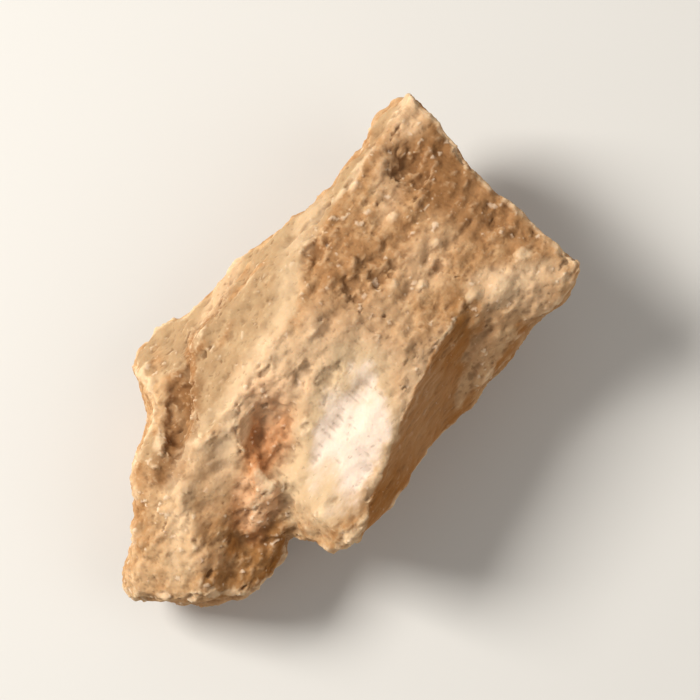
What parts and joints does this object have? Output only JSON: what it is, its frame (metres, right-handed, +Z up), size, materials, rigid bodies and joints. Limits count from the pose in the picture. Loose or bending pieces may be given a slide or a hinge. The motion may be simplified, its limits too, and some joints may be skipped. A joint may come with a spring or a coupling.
{
  "type": "cut orris root chip",
  "caption": "Chip of cut, dried orris root: a wedge-shaped, mealy tan piece of iris rhizome with flat cut faces, a broken gully and a tapered toe.",
  "frame": {"origin": "middle of the bounding box in plan, on the surface that the chip rests on", "axes": "+X along the chip's long way, towards its thick end, the way the rhizome's fibres run; +Z up from the flat spot that it rests on"},
  "size_m": [0.011, 0.0058, 0.004],
  "materials": {
    "dried_root": "matt, mealy, dry"
  },
  "bodies": {
    "root": {"orris_chip": "dried_root"}
  },
  "joints": []
}
